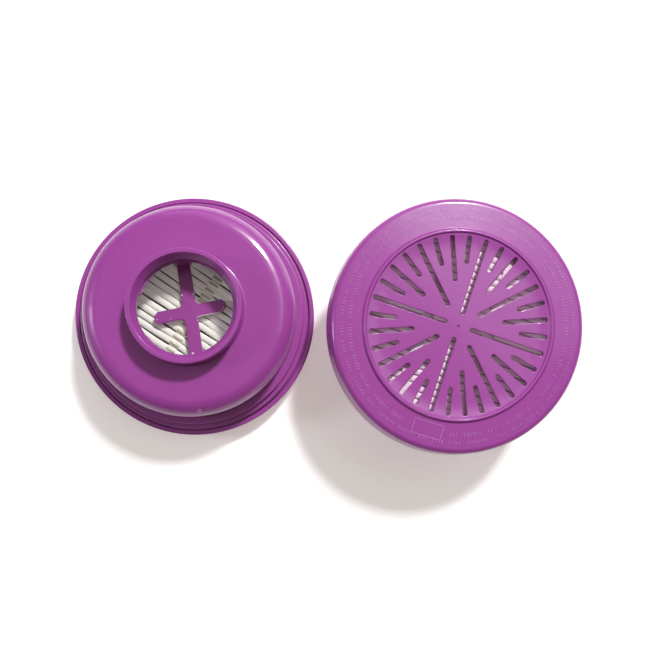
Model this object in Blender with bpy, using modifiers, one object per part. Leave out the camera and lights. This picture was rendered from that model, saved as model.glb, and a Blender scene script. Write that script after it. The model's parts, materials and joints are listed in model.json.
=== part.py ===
"""A pair of round screw-on respirator filter cartridges, lying side by side.

The left one stands on its slotted inlet cover with the threaded outlet collar up.
The right one is the same cartridge turned over, standing on its collar lip.
Each is built about its own axis, with "level" the height above the inlet bead.
"""

import math

import bmesh
import bpy
from mathutils import Matrix, Vector

MM = 0.001
ROUND_STEPS = 44
WELD_DISTANCE = 0.000002
SHARP_ANGLE = math.radians(30.0)

# Overall size of one cartridge
RIM_RADIUS = 44.0 * MM
LIP_LEVEL = 36.0 * MM
FIT_GAP = 0.35 * MM
ROUNDING = 0.5 * MM

# Where the two cartridges stand, measured from the middle of the pair
PAIR_SPACING = 91.2 * MM
PAIR_STAGGER = 5.8 * MM
LEFT_TURN = math.radians(-33.0)
RIGHT_TURN = math.radians(-18.4)

# Inlet cover: slotted disc inside a bead, broad annulus, rim and skirt
COVER_WALL = 1.3 * MM
DISC_LEVEL = 1.2 * MM
BEAD_MIDDLE_RADIUS = 31.75 * MM
BEAD_HALF_WIDTH = 0.95 * MM
BEAD_CREST_HALF_WIDTH = 0.4 * MM
ANNULUS_LEVEL = 0.8 * MM
ANNULUS_FALL = 0.4 * MM
COVER_INNER_RADIUS = 42.2 * MM
RIM_TOP_RADIUS = 43.0 * MM
RIM_ROUNDING = 2.3 * MM
RIM_STEPS = 3
SKIRT_TOP_LEVEL = 9.2 * MM

# Slots, in three lengths about the disc
SLOT_WIDTH = 1.5 * MM
SLOT_OUTER_RADIUS = 30.3 * MM
SLOT_PLACES = 32
SLOT_END_STEPS = 3
MAIN_SLOT_INNER = 4.1 * MM
DIAGONAL_SLOT_INNER = 7.4 * MM
MIDDLE_SLOT_INNER = 15.0 * MM
SHORT_SLOT_INNER = 20.8 * MM

# Outlet housing: skirt, two ledges, body wall, shoulder, flat top
SHELL = 1.6 * MM
SKIRT_RADIUS = 41.6 * MM
SKIRT_BOTTOM_LEVEL = 3.5 * MM
LOWER_LEDGE_LEVEL = 10.7 * MM
LOWER_LEDGE_INNER_RADIUS = 39.9 * MM
UPPER_LEDGE_LEVEL = 13.6 * MM
UPPER_LEDGE_RADIUS = 39.6 * MM
BODY_RADIUS = 36.8 * MM
TOP_LEVEL = 28.2 * MM
SHOULDER_ROUNDING = 5.7 * MM
SHOULDER_STEPS = 4

# Threaded collar
COLLAR_RADIUS = 19.0 * MM
COLLAR_FOOT_ROUNDING = 0.9 * MM
COLLAR_FOOT_STEPS = 2
LIP_INNER_RADIUS = 17.8 * MM
THROAT_RADIUS = 15.9 * MM
THROAT_TOP_LEVEL = 33.3 * MM
THROAT_BOTTOM_LEVEL = 32.4 * MM
BORE_RADIUS = 17.2 * MM
THREAD_CREST_RADIUS = 15.2 * MM
THREAD_WIDTH = 1.7 * MM
THREAD_CREST_WIDTH = 0.7 * MM
THREAD_LEAD = 4.0 * MM
THREAD_START_LEVEL = 31.2 * MM
THREAD_START_ANGLE = math.radians(205.0)
THREAD_TURNS = 0.9
THREAD_STEPS = 24
THREAD_ROOT_OVERLAP = 0.5 * MM

# Cross guard below the foot of the bore, hung from a post at each end of its long bar
GUARD_ANGLE = math.radians(131.6)
GUARD_ARM_ANGLE = math.radians(93.5)
GUARD_TOP_LEVEL = 22.0 * MM
GUARD_THICKNESS = 1.0 * MM
GUARD_BAR_WIDTH = 4.6 * MM
GUARD_ARM_WIDTH = 4.2 * MM
GUARD_ARM_REACH = 12.6 * MM
GUARD_BAR_REACH = 19.4 * MM
GUARD_POST_INNER = 16.2 * MM
GUARD_POST_WIDTH = 6.0 * MM
GUARD_TIP_TAPER = 1.3 * MM
GUARD_CORNER_ROUNDING = 1.6 * MM
GUARD_CORNER_STEPS = 4

# Pleated pack with its potting and hot-melt strands
PACK_RADIUS = 33.9 * MM
PACK_BOTTOM_LEVEL = 4.3 * MM
PACK_TOP_LEVEL = 19.5 * MM
PLEAT_PITCH = 2.5 * MM
PAPER_THICKNESS = 0.45 * MM
SHEET_LENGTH = 2.2 * PACK_RADIUS
POTTING_TOP_LEVEL = 18.4 * MM
STRAND_RADIUS = 0.4 * MM
STRAND_SIDES = 10
STRAND_SPACING = 22.0 * MM
STRAND_END_MARGIN = 1.2 * MM

PLASTIC = (0.38, 0.09, 0.37, 1.0)
DARKER_PLASTIC = (0.34, 0.075, 0.33, 1.0)
PAPER = (0.86, 0.86, 0.82, 1.0)
POTTING = (0.72, 0.68, 0.52, 1.0)
HOT_MELT = (0.34, 0.32, 0.16, 1.0)


def clear_scene():
    for obj in list(bpy.data.objects):
        bpy.data.objects.remove(obj, do_unlink=True)


def new_collection(name, hidden):
    found = bpy.data.collections.new(name)
    bpy.context.scene.collection.children.link(found)
    found.hide_render = hidden
    return found


def material(name, colour, roughness):
    made = bpy.data.materials.new(name)
    made.use_nodes = True
    shader = made.node_tree.nodes["Principled BSDF"]
    shader.inputs["Base Color"].default_value = colour
    shader.inputs["Roughness"].default_value = roughness
    return made


def object_from(bm, name, collection):
    mesh = bpy.data.meshes.new(name)
    bm.to_mesh(mesh)
    bm.free()
    obj = bpy.data.objects.new(name, mesh)
    collection.objects.link(obj)
    return obj


def cutter(obj):
    obj.hide_render = True
    obj.display_type = "WIRE"
    return obj


def revolved(name, section, collection):
    """The (radius, level) section turned about the axis by a Screw."""
    bm = bmesh.new()
    corners = [bm.verts.new((radius, 0.0, level)) for radius, level in section]
    closed = section[0][0] > 0.0
    pairs = list(zip(corners, corners[1:]))
    if closed:
        pairs.append((corners[-1], corners[0]))
    for a, b in pairs:
        bm.edges.new((a, b))
    obj = object_from(bm, name, collection)
    screw = obj.modifiers.new("turn", "SCREW")
    screw.axis = "Z"
    screw.steps = ROUND_STEPS
    screw.render_steps = ROUND_STEPS
    screw.use_merge_vertices = True
    screw.merge_threshold = 0.00001
    return obj


def baked(obj):
    """The object's evaluated mesh, closed and faced outwards, in place of its modifiers."""
    bpy.context.view_layer.update()
    graph = bpy.context.evaluated_depsgraph_get()
    mesh = bpy.data.meshes.new_from_object(obj.evaluated_get(graph))
    obj.modifiers.clear()
    obj.data = mesh
    bm = bmesh.new()
    bm.from_mesh(mesh)
    bmesh.ops.remove_doubles(bm, verts=bm.verts, dist=WELD_DISTANCE)
    bmesh.ops.recalc_face_normals(bm, faces=bm.faces)
    bm.to_mesh(mesh)
    bm.free()
    return obj


def boolean(obj, other, operation):
    step = obj.modifiers.new(other.name, "BOOLEAN")
    step.operation = operation
    step.solver = "EXACT"
    step.object = other
    return baked(obj)


def arc(middle, radius, start, end, steps):
    """Points along an arc, start and end given in degrees."""
    found = []
    for i in range(steps + 1):
        angle = math.radians(start + (end - start) * i / steps)
        found.append((middle[0] + radius * math.cos(angle), middle[1] + radius * math.sin(angle)))
    return found


def add_prism(bm, points, lift):
    """A flat outline of points swept along lift."""
    face = bm.faces.new([bm.verts.new(point) for point in points])
    raised = bmesh.ops.extrude_face_region(bm, geom=[face])
    moved = [item for item in raised["geom"] if isinstance(item, bmesh.types.BMVert)]
    bmesh.ops.translate(bm, verts=moved, vec=lift)


def prism(name, points, lift, collection):
    bm = bmesh.new()
    add_prism(bm, points, lift)
    bmesh.ops.recalc_face_normals(bm, faces=bm.faces)
    return object_from(bm, name, collection)


def cover_section():
    """From the axis out along the inside, over the skirt's edge, down its outside and back in underneath."""
    rim_middle = (RIM_TOP_RADIUS - RIM_ROUNDING, ANNULUS_LEVEL + ANNULUS_FALL + RIM_ROUNDING)
    bead_out = BEAD_MIDDLE_RADIUS + BEAD_HALF_WIDTH
    bead_in = BEAD_MIDDLE_RADIUS - BEAD_HALF_WIDTH
    floor_level = ANNULUS_LEVEL + COVER_WALL
    disc_inside = DISC_LEVEL + COVER_WALL
    section = [(0.0, disc_inside), (bead_in, disc_inside), (bead_out, floor_level)]
    section += [(COVER_INNER_RADIUS - ROUNDING, floor_level + ANNULUS_FALL)]
    section += [(COVER_INNER_RADIUS, floor_level + ANNULUS_FALL + ROUNDING)]
    section += [(COVER_INNER_RADIUS, SKIRT_TOP_LEVEL - ROUNDING)]
    section += [(COVER_INNER_RADIUS + ROUNDING, SKIRT_TOP_LEVEL)]
    section += [(RIM_RADIUS - ROUNDING, SKIRT_TOP_LEVEL), (RIM_RADIUS, SKIRT_TOP_LEVEL - ROUNDING)]
    section += arc(rim_middle, RIM_ROUNDING, 0.0, -90.0, RIM_STEPS)
    section += [(bead_out, ANNULUS_LEVEL)]
    section += [(BEAD_MIDDLE_RADIUS + BEAD_CREST_HALF_WIDTH, 0.0)]
    section += [(BEAD_MIDDLE_RADIUS - BEAD_CREST_HALF_WIDTH, 0.0)]
    return section + [(bead_in, DISC_LEVEL), (0.0, DISC_LEVEL)]


def slot_inner(index):
    if index % 8 == 0:
        return MAIN_SLOT_INNER
    if index % 8 == 4:
        return DIAGONAL_SLOT_INNER
    return MIDDLE_SLOT_INNER if index % 4 == 2 else SHORT_SLOT_INNER


def slot_outline(inner, outer):
    half = SLOT_WIDTH / 2
    outline = arc((outer - half, 0.0), half, -90.0, 90.0, SLOT_END_STEPS)
    return outline + arc((inner + half, 0.0), half, 90.0, 270.0, SLOT_END_STEPS)


def slot_cutter(name, collection):
    """Every slot of the disc as one set of separate prisms."""
    bottom = DISC_LEVEL - COVER_WALL
    height = 3 * COVER_WALL
    bm = bmesh.new()
    for index in range(SLOT_PLACES):
        turn = Matrix.Rotation(2 * math.pi * index / SLOT_PLACES, 3, "Z")
        outline = slot_outline(slot_inner(index), SLOT_OUTER_RADIUS)
        add_prism(bm, [turn @ Vector((x, y, bottom)) for x, y in outline], (0.0, 0.0, height))
    bmesh.ops.recalc_face_normals(bm, faces=bm.faces)
    return cutter(object_from(bm, name, collection))


def housing_section():
    """Down the outside from the lip to the skirt, then up the inside and the bore."""
    skirt_inner = SKIRT_RADIUS - SHELL
    inner_body = BODY_RADIUS - SHELL
    shoulder_middle = (BODY_RADIUS - SHOULDER_ROUNDING, TOP_LEVEL - SHOULDER_ROUNDING)
    foot_middle = (COLLAR_RADIUS + COLLAR_FOOT_ROUNDING, TOP_LEVEL + COLLAR_FOOT_ROUNDING)
    section = [(LIP_INNER_RADIUS + ROUNDING / 2, LIP_LEVEL), (COLLAR_RADIUS - ROUNDING, LIP_LEVEL)]
    section += [(COLLAR_RADIUS, LIP_LEVEL - ROUNDING)]
    section += arc(foot_middle, COLLAR_FOOT_ROUNDING, 180.0, 270.0, COLLAR_FOOT_STEPS)
    section += arc(shoulder_middle, SHOULDER_ROUNDING, 90.0, 0.0, SHOULDER_STEPS)
    section += [(BODY_RADIUS, UPPER_LEDGE_LEVEL + ROUNDING), (BODY_RADIUS + ROUNDING, UPPER_LEDGE_LEVEL)]
    section += [(UPPER_LEDGE_RADIUS - ROUNDING, UPPER_LEDGE_LEVEL)]
    section += [(UPPER_LEDGE_RADIUS, UPPER_LEDGE_LEVEL - ROUNDING)]
    section += [(LOWER_LEDGE_INNER_RADIUS, LOWER_LEDGE_LEVEL)]
    section += [(SKIRT_RADIUS - ROUNDING, LOWER_LEDGE_LEVEL), (SKIRT_RADIUS, LOWER_LEDGE_LEVEL - ROUNDING)]
    section += [(SKIRT_RADIUS, SKIRT_BOTTOM_LEVEL), (skirt_inner, SKIRT_BOTTOM_LEVEL)]
    section += [(skirt_inner, LOWER_LEDGE_LEVEL - SHELL)]
    section += [(UPPER_LEDGE_RADIUS - SHELL, UPPER_LEDGE_LEVEL - SHELL)]
    section += [(inner_body, UPPER_LEDGE_LEVEL - SHELL)]
    section += arc(shoulder_middle, SHOULDER_ROUNDING - SHELL, 0.0, 90.0, SHOULDER_STEPS - 2)
    section += [(BORE_RADIUS, TOP_LEVEL - SHELL), (BORE_RADIUS, THROAT_BOTTOM_LEVEL - ROUNDING)]
    section += [(THROAT_RADIUS, THROAT_BOTTOM_LEVEL)]
    section += [(THROAT_RADIUS, THROAT_TOP_LEVEL), (LIP_INNER_RADIUS, LIP_LEVEL - ROUNDING / 2)]
    return section


def thread_ridge(name, collection):
    """A blunt-ended helical ridge inside the bore, running down clockwise."""
    root = BORE_RADIUS + THREAD_ROOT_OVERLAP
    corners = [
        (root, THREAD_WIDTH / 2),
        (THREAD_CREST_RADIUS, THREAD_CREST_WIDTH / 2),
        (THREAD_CREST_RADIUS, -THREAD_CREST_WIDTH / 2),
        (root, -THREAD_WIDTH / 2),
    ]
    bm = bmesh.new()
    rings = []
    for i in range(THREAD_STEPS + 1):
        run = THREAD_TURNS * i / THREAD_STEPS
        angle = THREAD_START_ANGLE - 2 * math.pi * run
        level = THREAD_START_LEVEL - THREAD_LEAD * run
        ring = [
            bm.verts.new((radius * math.cos(angle), radius * math.sin(angle), level + rise))
            for radius, rise in corners
        ]
        rings.append(ring)
    for near, far in zip(rings, rings[1:]):
        for k in range(len(corners)):
            nxt = (k + 1) % len(corners)
            bm.faces.new((near[k], near[nxt], far[nxt], far[k]))
    bm.faces.new(rings[0])
    bm.faces.new(rings[-1])
    bmesh.ops.recalc_face_normals(bm, faces=bm.faces)
    return cutter(object_from(bm, name, collection))


def guard_outline():
    """A long bar along X crossed by a shorter arm with pointed tips, inner corners rounded."""
    bar = GUARD_BAR_WIDTH / 2
    arm = GUARD_ARM_WIDTH / 2
    corner = GUARD_CORNER_ROUNDING
    lean = math.tan(GUARD_ARM_ANGLE - math.pi / 2)
    quarter = [(GUARD_BAR_REACH, -bar), (GUARD_BAR_REACH, bar)]
    quarter += arc((arm + corner, bar + corner), corner, 270.0, 180.0, GUARD_CORNER_STEPS)
    quarter += [(arm, GUARD_ARM_REACH - GUARD_TIP_TAPER), (0.0, GUARD_ARM_REACH)]
    quarter += [(-arm, GUARD_ARM_REACH - GUARD_TIP_TAPER)]
    quarter += arc((-arm - corner, bar + corner), corner, 0.0, -90.0, GUARD_CORNER_STEPS)
    outline = quarter + [(-x, -y) for x, y in quarter]
    return [(x - lean * y if abs(y) > bar else x, y) for x, y in outline]


def cross_guard(name, collection, cutters):
    """The flat cross, with a post from each end of its long bar up to the housing's underside."""
    bottom = GUARD_TOP_LEVEL - GUARD_THICKNESS
    points = [(x, y, bottom) for x, y in guard_outline()]
    made = prism(name, points, (0.0, 0.0, GUARD_THICKNESS), collection)
    half = GUARD_POST_WIDTH / 2
    height = TOP_LEVEL - SHELL - FIT_GAP - bottom
    for near, far in ((GUARD_POST_INNER, GUARD_BAR_REACH), (-GUARD_BAR_REACH, -GUARD_POST_INNER)):
        foot = [(near, -half, bottom), (far, -half, bottom), (far, half, bottom), (near, half, bottom)]
        post = cutter(prism(name + "_post", foot, (0.0, 0.0, height), cutters))
        made = boolean(made, post, "UNION")
    made.data.transform(Matrix.Rotation(GUARD_ANGLE, 4, "Z"))
    return made


def pleated_pack(name, collection, cutters):
    """One zigzag sheet across the axis, cut round."""
    folds = 2 * math.ceil(PACK_RADIUS / PLEAT_PITCH) + 2
    depth = PACK_TOP_LEVEL - PACK_BOTTOM_LEVEL
    flank = math.hypot(depth, PLEAT_PITCH / 2)
    rise = PAPER_THICKNESS * flank / (PLEAT_PITCH / 2)
    lower = []
    upper = []
    for i in range(2 * folds + 1):
        y = (i - folds) * PLEAT_PITCH / 2
        peak = i % 2 == 1
        lower.append((y, PACK_TOP_LEVEL - rise if peak else PACK_BOTTOM_LEVEL))
        upper.append((y, PACK_TOP_LEVEL if peak else PACK_BOTTOM_LEVEL + rise))
    points = [(-SHEET_LENGTH / 2, y, level) for y, level in lower + upper[::-1]]
    sheet = prism(name, points, (SHEET_LENGTH, 0.0, 0.0), collection)
    section = [
        (0.0, PACK_BOTTOM_LEVEL - SHELL),
        (PACK_RADIUS, PACK_BOTTOM_LEVEL - SHELL),
        (PACK_RADIUS, PACK_TOP_LEVEL + SHELL),
        (0.0, PACK_TOP_LEVEL + SHELL),
    ]
    rounding = cutter(baked(revolved(name + "_edge", section, cutters)))
    return boolean(sheet, rounding, "INTERSECT")


def potting_section():
    """The cast ring that seals the pack's edge to the housing wall and the skirt."""
    skirt_inner = SKIRT_RADIUS - SHELL - FIT_GAP
    inner_body = BODY_RADIUS - SHELL - FIT_GAP
    bottom = ANNULUS_LEVEL + ANNULUS_FALL + COVER_WALL + FIT_GAP
    pack = PACK_RADIUS + FIT_GAP
    return [
        (pack, POTTING_TOP_LEVEL),
        (inner_body, POTTING_TOP_LEVEL),
        (inner_body, UPPER_LEDGE_LEVEL - SHELL - FIT_GAP),
        (UPPER_LEDGE_RADIUS - SHELL - FIT_GAP, UPPER_LEDGE_LEVEL - SHELL - FIT_GAP),
        (skirt_inner, LOWER_LEDGE_LEVEL - SHELL - 2 * FIT_GAP),
        (skirt_inner, bottom),
        (pack, bottom),
    ]


def strand(name, offset, level, collection):
    """One hot-melt strand laid across the folds."""
    half = math.sqrt(PACK_RADIUS**2 - offset**2) - STRAND_END_MARGIN
    bm = bmesh.new()
    bmesh.ops.create_cone(
        bm,
        cap_ends=True,
        segments=STRAND_SIDES,
        radius1=STRAND_RADIUS,
        radius2=STRAND_RADIUS,
        depth=2 * half,
    )
    bm.transform(Matrix.Translation((offset, 0.0, level)) @ Matrix.Rotation(math.pi / 2, 4, "X"))
    return object_from(bm, name, collection)


def finished(obj, look, smooth):
    obj.data.materials.clear()
    obj.data.materials.append(look)
    if smooth:
        obj.data.shade_smooth()
        obj.data.set_sharp_from_angle(angle=SHARP_ANGLE)
    return obj


def build_cartridge(collection, cutters):
    """One cartridge about its own axis, as {short name: object}."""
    plastic = material("magenta_plastic", PLASTIC, 0.42)
    darker = material("guard_plastic", DARKER_PLASTIC, 0.45)
    paper = material("filter_paper", PAPER, 0.9)
    potting = material("potting_resin", POTTING, 0.5)
    hot_melt = material("hot_melt", HOT_MELT, 0.35)
    pieces = {}
    cover = baked(revolved("inlet_cover", cover_section(), collection))
    pieces["inlet_cover"] = finished(
        boolean(cover, slot_cutter("slots", cutters), "DIFFERENCE"), plastic, True
    )
    housing = baked(revolved("outlet_housing", housing_section(), collection))
    housing = boolean(housing, thread_ridge("thread", cutters), "UNION")
    pieces["outlet_housing"] = finished(housing, plastic, True)
    pieces["cross_guard"] = finished(cross_guard("cross_guard", collection, cutters), darker, False)
    pieces["pleated_media"] = finished(pleated_pack("pleated_media", collection, cutters), paper, False)
    ring = baked(revolved("potting_ring", potting_section(), collection))
    pieces["potting_ring"] = finished(ring, potting, True)
    top = PACK_TOP_LEVEL + FIT_GAP + STRAND_RADIUS
    bottom = PACK_BOTTOM_LEVEL - FIT_GAP - STRAND_RADIUS
    for label, offset in (("a", -STRAND_SPACING), ("b", 0.0), ("c", STRAND_SPACING)):
        name = "outlet_glue_strand_" + label
        pieces[name] = finished(strand(name, offset, top, collection), hot_melt, True)
    for label, offset in (("a", -STRAND_SPACING / 2), ("b", STRAND_SPACING / 2)):
        name = "inlet_glue_strand_" + label
        pieces[name] = finished(strand(name, offset, bottom, collection), hot_melt, True)
    return pieces


def place(pieces, side, matrix, collection, copy):
    for short, obj in pieces.items():
        if copy:
            twin = bpy.data.objects.new(side + "_" + short, obj.data)
            collection.objects.link(twin)
        else:
            twin = obj
            twin.name = side + "_" + short
        twin.matrix_world = matrix


def main():
    clear_scene()
    collection = new_collection("respirator_filter_cartridges", False)
    cutters = new_collection("cutters", True)
    pieces = build_cartridge(collection, cutters)
    right = Matrix.Translation((PAIR_SPACING / 2, -PAIR_STAGGER / 2, LIP_LEVEL))
    right @= Matrix.Rotation(RIGHT_TURN, 4, "Z") @ Matrix.Rotation(math.pi, 4, "X")
    place(pieces, "right", right, collection, True)
    left = Matrix.Translation((-PAIR_SPACING / 2, PAIR_STAGGER / 2, 0.0))
    left @= Matrix.Rotation(LEFT_TURN, 4, "Z")
    place(pieces, "left", left, collection, False)


main()
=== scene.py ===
"""Looks for the pair of round respirator filter cartridges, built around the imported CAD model.

Each piece is modelled about its cartridge's own axis. "Level" is the height above the crest of the
inlet bead, so the threaded collar's lip is at the greatest level. The left cartridge stands collar up
and the right one is turned over.
"""

import json
import math
import random

import bmesh
import bpy
from mathutils import Matrix, Vector, noise
from mathutils.geometry import delaunay_2d_cdt

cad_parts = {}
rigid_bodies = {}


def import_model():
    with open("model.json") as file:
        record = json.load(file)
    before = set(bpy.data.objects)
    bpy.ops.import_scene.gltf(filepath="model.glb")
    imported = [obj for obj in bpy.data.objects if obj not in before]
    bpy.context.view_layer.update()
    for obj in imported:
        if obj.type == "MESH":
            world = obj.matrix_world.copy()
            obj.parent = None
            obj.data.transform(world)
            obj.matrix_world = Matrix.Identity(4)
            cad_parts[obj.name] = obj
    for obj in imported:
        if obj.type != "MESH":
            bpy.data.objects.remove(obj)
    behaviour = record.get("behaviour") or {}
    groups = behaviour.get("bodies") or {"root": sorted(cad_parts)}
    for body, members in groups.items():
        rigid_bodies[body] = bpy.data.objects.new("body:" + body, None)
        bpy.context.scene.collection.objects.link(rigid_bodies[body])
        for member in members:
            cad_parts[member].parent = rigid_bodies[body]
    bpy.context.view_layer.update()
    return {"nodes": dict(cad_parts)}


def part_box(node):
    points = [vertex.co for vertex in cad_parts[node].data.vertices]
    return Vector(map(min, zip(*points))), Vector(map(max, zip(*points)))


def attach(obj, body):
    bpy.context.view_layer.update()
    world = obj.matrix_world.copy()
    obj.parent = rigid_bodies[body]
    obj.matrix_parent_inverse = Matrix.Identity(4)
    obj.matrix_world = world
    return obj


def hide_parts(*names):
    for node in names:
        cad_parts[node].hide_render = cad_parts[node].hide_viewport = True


MM = 0.001
SIDES = ("left", "right")
ROUND_STEPS = 192
SEED = 41

# How each cartridge is turned about its own axis
LEFT_TURN = math.radians(-33.0)
RIGHT_TURN = math.radians(-18.4)

# Sections: arcs are cut finely, with support points beside them that keep the flats flat
ARC_STEP = math.radians(11.0)
SUPPORT = 0.1 * MM
SUPPORT_FROM = 0.7 * MM
ARC_LEAST_STEPS = 3
ROUNDING = 0.3 * MM
SHARP_ANGLE = math.radians(50.0)

# Inlet cover
DISC_LEVEL = 1.2 * MM
DISC_INSIDE_LEVEL = 2.5 * MM
DISC_EDGE_RADIUS = 30.85 * MM
DISC_CORNER_RADIUS = 30.95 * MM
DISC_CORNER_ROUNDING = 0.12 * MM
DISC_INSIDE_RADIUS = 31.2 * MM
DISC_INSIDE_ROUNDING = 0.2 * MM
DISH_FROM = 24.0 * MM
DISH_DEPTH = 0.6 * MM
DISC_GRID = 1.0 * MM
GRID_CLEARANCE = 0.3 * MM
GRID_MERGE = 0.00001
BEAD_INNER_RADIUS = 31.45 * MM
BEAD_OUTER_RADIUS = 32.0 * MM
BEAD_OUTER_ROUNDING = 0.35 * MM
BEAD_FOOT_RADIUS = 32.7 * MM
ANNULUS_LEVEL = 0.8 * MM
ANNULUS_FALL = 0.4 * MM
ANNULUS_INSIDE_LEVEL = 2.1 * MM
RIM_RADIUS = 44.0 * MM
RIM_TOP_RADIUS = 43.0 * MM
RIM_ROUNDING = 2.2 * MM
RIM_EDGE_ROUNDING = 0.5 * MM
COVER_INNER_RADIUS = 42.2 * MM
SKIRT_TOP_LEVEL = 9.2 * MM
SEAM_LEVEL = 8.1 * MM
SEAM_RADIUS = 41.68 * MM
SEAM_OUTER_ROUNDING = 0.08 * MM
SEAM_INNER_ROUNDING = 0.05 * MM
COVER_INSIDE_LEVEL = 3.2 * MM
COVER_INSIDE_RADIUS = 41.2 * MM

# Gate mark, a low disc in a raised ring: (radius, level, rounding) in millimetres
MARK_CORNERS = (
    (0.95, -0.3, 0.0),
    (0.95, 0.10, 0.08),
    (0.62, 0.10, 0.08),
    (0.55, 0.0, 0.06),
    (0.35, 0.04, 0.05),
    (0.1, 0.12, 0.0),
)
MARK_STEPS = 40
HUB_MARK_SHARE = 0.55
SHOULDER_MARK_ANGLE = math.radians(-50.3)
SHOULDER_MARK_PLACE = (34.93 * MM, 0.0, 26.32 * MM)
SHOULDER_MARK_TILT = math.radians(46.0)

# Slots
SLOT_WIDTH = 1.5 * MM
SLOT_OUTER_RADIUS = 30.3 * MM
SLOT_PLACES = 32
SLOT_END_STEPS = 9
SLOT_SIDE_STEPS = 6
SLOT_ROUNDING = 0.2 * MM
SLOT_ROUNDING_STEPS = 3
SLOT_SUPPORT = 0.06 * MM
SLOT_FLARE = 0.2 * MM
MAIN_SLOT_INNER = 4.1 * MM
DIAGONAL_SLOT_INNER = 7.4 * MM
MIDDLE_SLOT_INNER = 15.0 * MM
SHORT_SLOT_INNER = 20.8 * MM

# Plain raised ticks on the annulus, in two rows
TICK_ROWS = ((39.3 * MM, 1.2 * MM), (36.6 * MM, 1.4 * MM))
TICK_PITCH = 1.0 * MM
TICK_WIDTH = 0.42 * MM
TICK_HEIGHT = 0.12 * MM
TICK_SINK = 0.1 * MM
TICK_GROUP = (3, 9)
TICK_SPACE = 1.9 * MM
TICK_INSET = 0.08 * MM
TICK_LENGTH_SPREAD = (0.7, 1.1)
TICK_WIDTH_SPREAD = (0.8, 1.2)
TICK_PITCH_SPREAD = (0.85, 1.2)
TICK_SPACE_SPREAD = (0.6, 1.2)
TICK_SHARP_ANGLE = math.radians(20.0)
PLATE_ANGLE = math.radians(88.6)
PLATE_HALF_ANGLE = math.radians(11.0)
PLATE_RADIUS = 36.2 * MM
PLATE_SIZE = (4.8 * MM, 10.5 * MM)

# Housing
SHELL = 1.6 * MM
LIP_LEVEL = 36.0 * MM
LIP_INNER_RADIUS = 17.45 * MM
COLLAR_RADIUS = 19.0 * MM
COLLAR_EDGE_ROUNDING = 0.35 * MM
COLLAR_FOOT_ROUNDING = 0.9 * MM
TOP_LEVEL = 28.2 * MM
BODY_RADIUS = 36.8 * MM
BODY_FOOT_ROUNDING = 0.5 * MM
SHOULDER_ROUNDING = 6.3 * MM
UPPER_LEDGE_RADIUS = 39.6 * MM
UPPER_LEDGE_LEVEL = 13.6 * MM
LEDGE_ROUNDING = 0.35 * MM
LOWER_LEDGE_INNER_RADIUS = 39.8 * MM
LOWER_LEDGE_LEVEL = 10.7 * MM
LEDGE_INSIDE_RADIUS = 38.1 * MM
LEDGE_INSIDE_ROUNDING = 0.5 * MM
SKIRT_RADIUS = 41.6 * MM
SKIRT_BOTTOM_LEVEL = 3.5 * MM
SKIRT_EDGE_ROUNDING = 0.55 * MM
SKIRT_INSIDE_ROUNDING = 0.4 * MM
BORE_RADIUS = 17.2 * MM
BORE_TOP_LEVEL = 31.9 * MM
BORE_NEARNESS = 0.01 * MM
THROAT_RADIUS = 15.9 * MM
THROAT_BOTTOM_LEVEL = 32.4 * MM
THROAT_BOTTOM_ROUNDING = 0.2 * MM
THROAT_TOP_LEVEL = 33.2 * MM
THROAT_TOP_ROUNDING = 0.25 * MM
BORE_ROWS_FROM = 27.1 * MM
BORE_ROWS_TO = 31.7 * MM
BORE_ROW_STEP = 0.16 * MM
THREAD_CREST_RADIUS = 15.3 * MM
THREAD_FADE_RADIUS = 16.3 * MM
THREAD_HALF_WIDTH = 0.85 * MM
THREAD_CREST_HALF_WIDTH = 0.35 * MM
THREAD_LEAD = 4.0 * MM
THREAD_START_LEVEL = 30.9 * MM
THREAD_START_ANGLE = math.radians(205.0)
THREAD_TURNS = 0.9
THREAD_END_RUN = 0.02

# Cross guard
GUARD_ANGLE = math.radians(131.6)
GUARD_ARM_LEAN = math.tan(math.radians(3.5))
GUARD_TOP_LEVEL = 22.0 * MM
GUARD_THICKNESS = 1.0 * MM
GUARD_BAR_WIDTH = 4.6 * MM
GUARD_ARM_WIDTH = 4.2 * MM
GUARD_BAR_REACH = 19.4 * MM
GUARD_ARM_REACH = 12.6 * MM
GUARD_POST_INNER = 16.2 * MM
GUARD_POST_WIDTH = 6.0 * MM
GUARD_POST_TOP_LEVEL = 26.25 * MM
GUARD_TIP_TAPER = 1.3 * MM
GUARD_TIP_HALF_WIDTH = 0.9 * MM
GUARD_CORNER_ROUNDING = 1.6 * MM
GUARD_CORNER_STEPS = 8
GUARD_EDGE_ROUNDING = 0.28 * MM
GUARD_EDGE_SEGMENTS = 3
GUARD_EDGE_ANGLE = math.radians(40.0)

# Moulding flash down one arm's edge of the cross, coloured pale as a painted highlight:
# (along the long bar, across it) in millimetres
FLASH_GLINT_PATH = (
    (-2.5, -1.7),
    (-2.25, -2.7),
    (-2.0, -4.0),
    (-1.85, -7.2),
    (-1.6, -10.4),
    (-0.6, -11.6),
    (0.2, -12.0),
)
FLASH_RADIUS = 0.12 * MM
FLASH_SIDES = 10

# Painted glints on the cross, as tiny pale nibs where its edges catch light:
# (along the long bar, across it, radius) in millimetres
GLINT_NIBS = (
    (5.9, 2.0, 0.3),
    (5.8, -2.0, 0.3),
    (-3.5, -2.1, 0.26),
    (-1.2, 11.7, 0.2),
    (-1.6, 7.0, 0.16),
    (-14.8, 1.2, 0.5),
)
NIB_FLATNESS = 0.6
NIB_SUBDIVISIONS = 2

# Pleated paper
PACK_RADIUS = 33.9 * MM
PACK_BOTTOM_LEVEL = 4.3 * MM
PACK_TOP_LEVEL = 19.5 * MM
PLEAT_PITCH = 2.5 * MM
PAPER_THICKNESS = 0.2 * MM
PLEAT_COLUMNS = 56
PLEAT_LEAST_HALF = 2 * MM

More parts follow.
